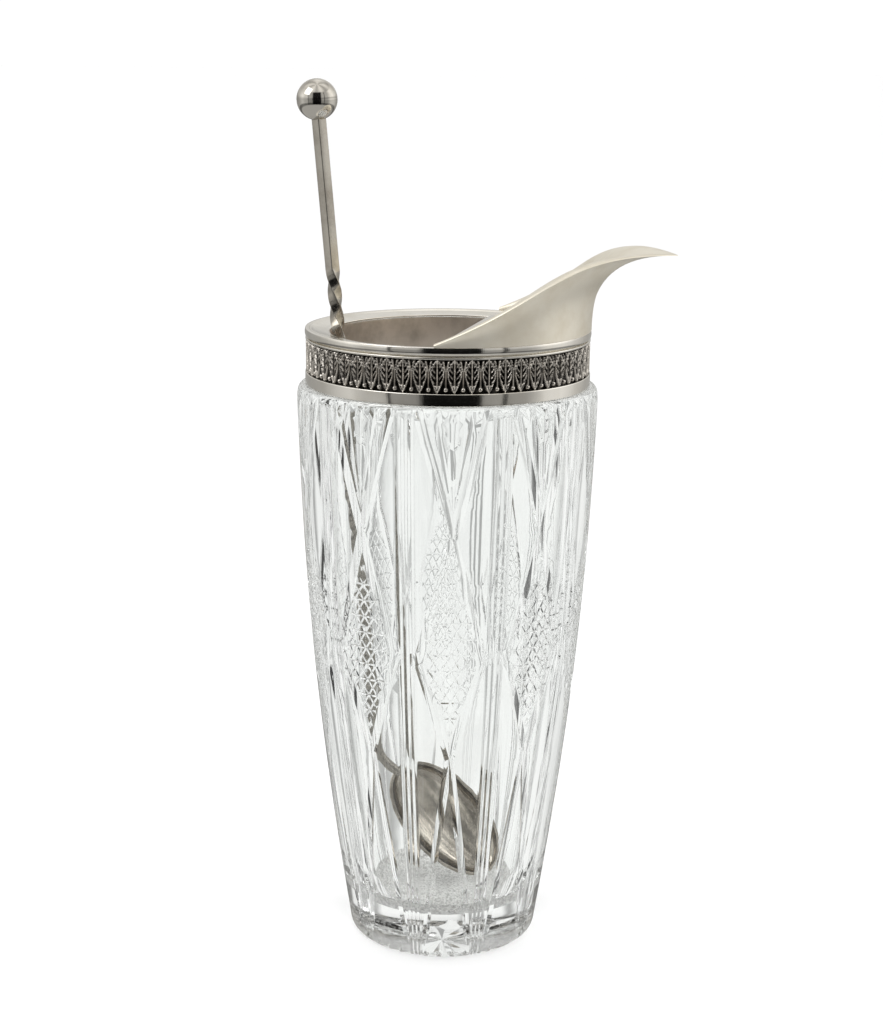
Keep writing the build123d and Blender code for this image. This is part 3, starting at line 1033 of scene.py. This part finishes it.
# Brightness of the studio by bearing, in degrees from the camera (0) to straight behind the glass (180)
REFLECTED = [(-180, 0.4), (-150, 0.34), (-118, 0.4), (-92, 0.6), (-84, 0.64), (-70, 0.48), (-53, 0.46),
             (-49, 0.4), (-48, 0.05), (-46, 0.05), (-45, 0.28), (-24, 0.24), (-19, 0.005), (26, 0.005),
             (29, 0.28), (44, 0.33), (45, 0.06), (48, 0.06), (49, 0.3), (66, 0.34), (76, 0.5), (84, 0.72),
             (104, 0.78), (120, 0.62), (145, 0.4), (180, 0.4)]
TRANSMITTED = [(-180, 0.97), (-174, 0.95), (-171, 0.4), (-165, 0.4), (-162, 1.0), (-152, 1.0), (-147, 0.3),
               (-141, 0.92), (-122, 0.9), (-118, 0.03), (-108, 0.03), (-104, 0.9), (-80, 0.8), (-68, 0.2),
               (-56, 1.1), (-40, 1.1), (-36, 0.25), (-12, 0.3), (0, 1.9), (9, 0.3), (29, 0.25), (34, 0.9),
               (66, 0.3), (80, 0.9), (102, 0.95), (106, 0.15), (118, 0.15), (122, 1.0), (141, 1.05),
               (147, 0.4), (152, 1.05), (180, 0.97)]


def camera():
    """Camera at the viewing angle, from its place and its yaw, pitch and roll."""
    ahead = Vector((-math.sin(CAMERA_YAW), math.cos(CAMERA_YAW), 0))
    right = Vector((math.cos(CAMERA_YAW), math.sin(CAMERA_YAW), 0))
    forward = ahead * math.cos(CAMERA_PITCH) - Vector((0, 0, math.sin(CAMERA_PITCH)))
    up = right.cross(forward)
    cos, sin = math.cos(CAMERA_ROLL), math.sin(CAMERA_ROLL)
    axes = Matrix((right * cos + up * sin, up * cos - right * sin, -forward)).transposed()
    data = bpy.data.cameras.new("camera")
    data.lens = LENS
    data.clip_start = 10 * MM
    obj = bpy.data.objects.new("camera", data)
    turn = Matrix.Rotation(TURN, 4, "Z")
    obj.matrix_world = turn @ Matrix.Translation(Vector(CAMERA_PLACE) * MM) @ axes.to_4x4()
    bpy.context.scene.collection.objects.link(obj)
    bpy.context.scene.camera = obj


def area_light(name, place_at, size, power):
    """A soft light aimed at the middle of the glass; its place is given as seen from the camera."""
    data = bpy.data.lights.new(name, "AREA")
    data.shape = "RECTANGLE"
    data.size, data.size_y = size
    data.energy = power
    obj = bpy.data.objects.new(name, data)
    obj.location = Matrix.Rotation(TURN, 3, "Z") @ Vector(place_at)
    obj.rotation_euler = (LIGHT_TARGET - obj.location).to_track_quat("-Z", "Y").to_euler()
    bpy.context.scene.collection.objects.link(obj)
    obj.visible_camera = False
    return obj


def floor():
    """A plain pale floor that glass and silver don't see."""
    size = FLOOR_SIZE
    mesh = bpy.data.meshes.new("floor")
    corners = [(-size, -size, 0), (size, -size, 0), (size, size, 0), (-size, size, 0)]
    mesh.from_pydata(corners, [], [(0, 1, 2, 3)])
    obj = bpy.data.objects.new("floor", mesh)
    obj.location.z = -FLOOR_DROP
    bpy.context.scene.collection.objects.link(obj)
    material, _, shader, _ = new_material("floor")
    shader.inputs["Base Color"].default_value = grey(0.96)
    shader.inputs["Roughness"].default_value = 0.9
    shader.inputs["Specular IOR Level"].default_value = 0.1
    mesh.materials.append(material)
    obj.visible_glossy = False
    obj.visible_transmission = False


def ramp(nodes, bearing, stops):
    """Brightness round the horizon, from stops of (degrees, level)."""
    share = nodes.remap(bearing, -math.pi, math.pi, 0, 1)
    node = nodes.add("ShaderNodeValToRGB", {"Fac": share})
    band = node.color_ramp
    while len(band.elements) < len(stops):
        band.elements.new(0.5)
    for element, (degrees, level) in zip(band.elements, stops):
        element.position = (degrees + 180) / 360
        element.color = grey(level)
    return nodes.add("ShaderNodeSeparateColor", {"Color": node.outputs[0]}).outputs[0]


def studio_world():
    """White to the camera, grey in reflections, and banded with dark flags through the glass."""
    world = bpy.data.worlds.new("studio")
    world.use_nodes = True
    bpy.context.scene.world = world
    tree = world.node_tree
    tree.nodes.clear()
    nodes = Nodes(tree)
    direction = nodes.add("ShaderNodeTexCoord").outputs["Generated"]
    turned = nodes.add("ShaderNodeVectorRotate", {"Vector": direction, "Angle": -TURN},
                       rotation_type="Z_AXIS").outputs[0]
    x, y, z = nodes.add("ShaderNodeSeparateXYZ", {"Vector": turned}).outputs
    bearing = nodes.math("ARCTAN2", x, nodes.math("MULTIPLY", y, -1.0))

    # Reflections: bands near the horizon, soft folds of cloth overhead, plain grey below
    low = nodes.math("MULTIPLY", nodes.remap(z, -0.5, -0.44, 0, 1), nodes.remap(z, 0.6, 0.66, 1, 0))
    folds = nodes.math("COSINE", nodes.math("MULTIPLY", bearing, 5.0))
    sky = nodes.math("MULTIPLY", nodes.remap(z, 0.3, 0.9, 0.6, 1.1), nodes.remap(folds, -1, 1, 1.1, 0.6))
    plain = nodes.mix(nodes.remap(z, -0.1, 0.4, 0, 1), grey(0.46), sky)
    banded = ramp(nodes, bearing, REFLECTED)
    banded = nodes.math("MULTIPLY", banded, nodes.remap(z, 0.02, 0.2, 1.0, 1.8))
    banded = nodes.math("MULTIPLY", banded, nodes.remap(z, -0.33, -0.28, 0.35, 1.0))
    studio = nodes.mix(low, plain, banded)
    reflected = nodes.add("ShaderNodeVectorMath", {0: studio, 1: (1.0, 0.98, 0.93)},
                          operation="MULTIPLY").outputs[0]

    # Through the glass: its own bands, a little brighter towards the floor
    clear = ramp(nodes, bearing, TRANSMITTED)
    lift = nodes.remap(z, -0.5, 0.0, 1.2, 0.9)
    through = nodes.mix(nodes.math("MULTIPLY", clear, lift), grey(0), rgba(0.99, 1.0, 0.985))

    path = nodes.add("ShaderNodeLightPath")
    tone = nodes.mix(path.outputs["Is Glossy Ray"], grey(1.06), reflected)
    tone = nodes.mix(path.outputs["Is Transmission Ray"], tone, through)
    background = nodes.add("ShaderNodeBackground", {"Color": tone, "Strength": 1.0})
    output = nodes.add("ShaderNodeOutputWorld")
    tree.links.new(background.outputs[0], output.inputs[0])


def render_setup():
    scene = bpy.context.scene
    scene.view_settings.view_transform = "Standard"
    scene.cycles.max_bounces = 24
    scene.cycles.transmission_bounces = 20
    scene.cycles.glossy_bounces = 12
    scene.cycles.use_denoising = True


camera()
floor()
studio_world()
area_light("key", (-0.9, -0.5, 1.1), size=(0.8, 0.8), power=4)
area_light("side", (1.0, -0.3, 0.7), size=(0.4, 0.9), power=2).visible_glossy = False
render_setup()

glass_body()
collar()
frieze()
pouring_lip()
ice_guard()
stirrer_bar()
finial_ball()
bowl_neck()
spoon_bowl()
for name, material in (("mounting_cement", CEMENT), ("collar_sleeve", SATIN)):
    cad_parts[name].data.materials.clear()
    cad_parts[name].data.materials.append(material)
